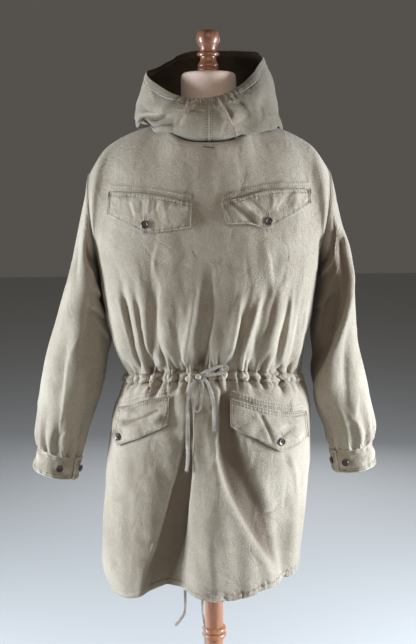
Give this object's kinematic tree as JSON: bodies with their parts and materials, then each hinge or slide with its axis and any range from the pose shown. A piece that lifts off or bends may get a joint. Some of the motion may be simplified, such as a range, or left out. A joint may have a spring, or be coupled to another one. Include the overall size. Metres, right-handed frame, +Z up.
{
  "type": "anorak smock on a limbless dress form",
  "caption": "Hooded cotton anorak smock with chest and hip pocket flaps, gathered at a waist drawcord, standing on a limbless dress form with a turned pole and round base.",
  "frame": {"origin": "centre of the round base's underside, on the floor, under the pole's axis", "axes": "+Z up the pole, -Y the way the smock's front faces, +X towards the wearer's left"},
  "size_m": [0.7139, 0.4034, 1.6722],
  "materials": {
    "cloth": "faded matt cotton",
    "tape": "matt woven cotton tape",
    "button": "semi-gloss, mottled dark brown",
    "calico": "matt cotton jersey stretched over the form",
    "pole": "satin stained beech",
    "finial": "gloss varnished hardwood"
  },
  "bodies": {
    "root": {"front": "cloth", "back": "cloth", "sleeve_left": "cloth", "sleeve_right": "cloth", "cuff_left": "cloth", "cuff_right": "cloth", "hood_left": "cloth", "hood_right": "cloth", "flap_chest_left": "cloth", "flap_chest_right": "cloth", "flap_hip_left": "cloth", "flap_hip_right": "cloth", "button_flap_chest_left": "button", "button_flap_chest_right": "button", "button_flap_hip_left": "button", "button_flap_hip_right": "button", "button_cuff_left_a": "button", "button_cuff_left_b": "button", "button_cuff_right_a": "button", "button_cuff_right_b": "button", "waist_cord_knot": "tape", "waist_cord_end_left": "tape", "waist_cord_end_right": "tape", "waist_cord_loop_left": "tape", "waist_cord_loop_right": "tape", "hood_cord_left": "tape", "hood_cord_right": "tape", "hem_cord_left": "tape", "hem_cord_right": "tape", "form_torso": "calico", "neck_cap": "calico", "neck_finial": "finial", "stand_pole": "pole", "stand_base": "pole"}
  },
  "joints": []
}
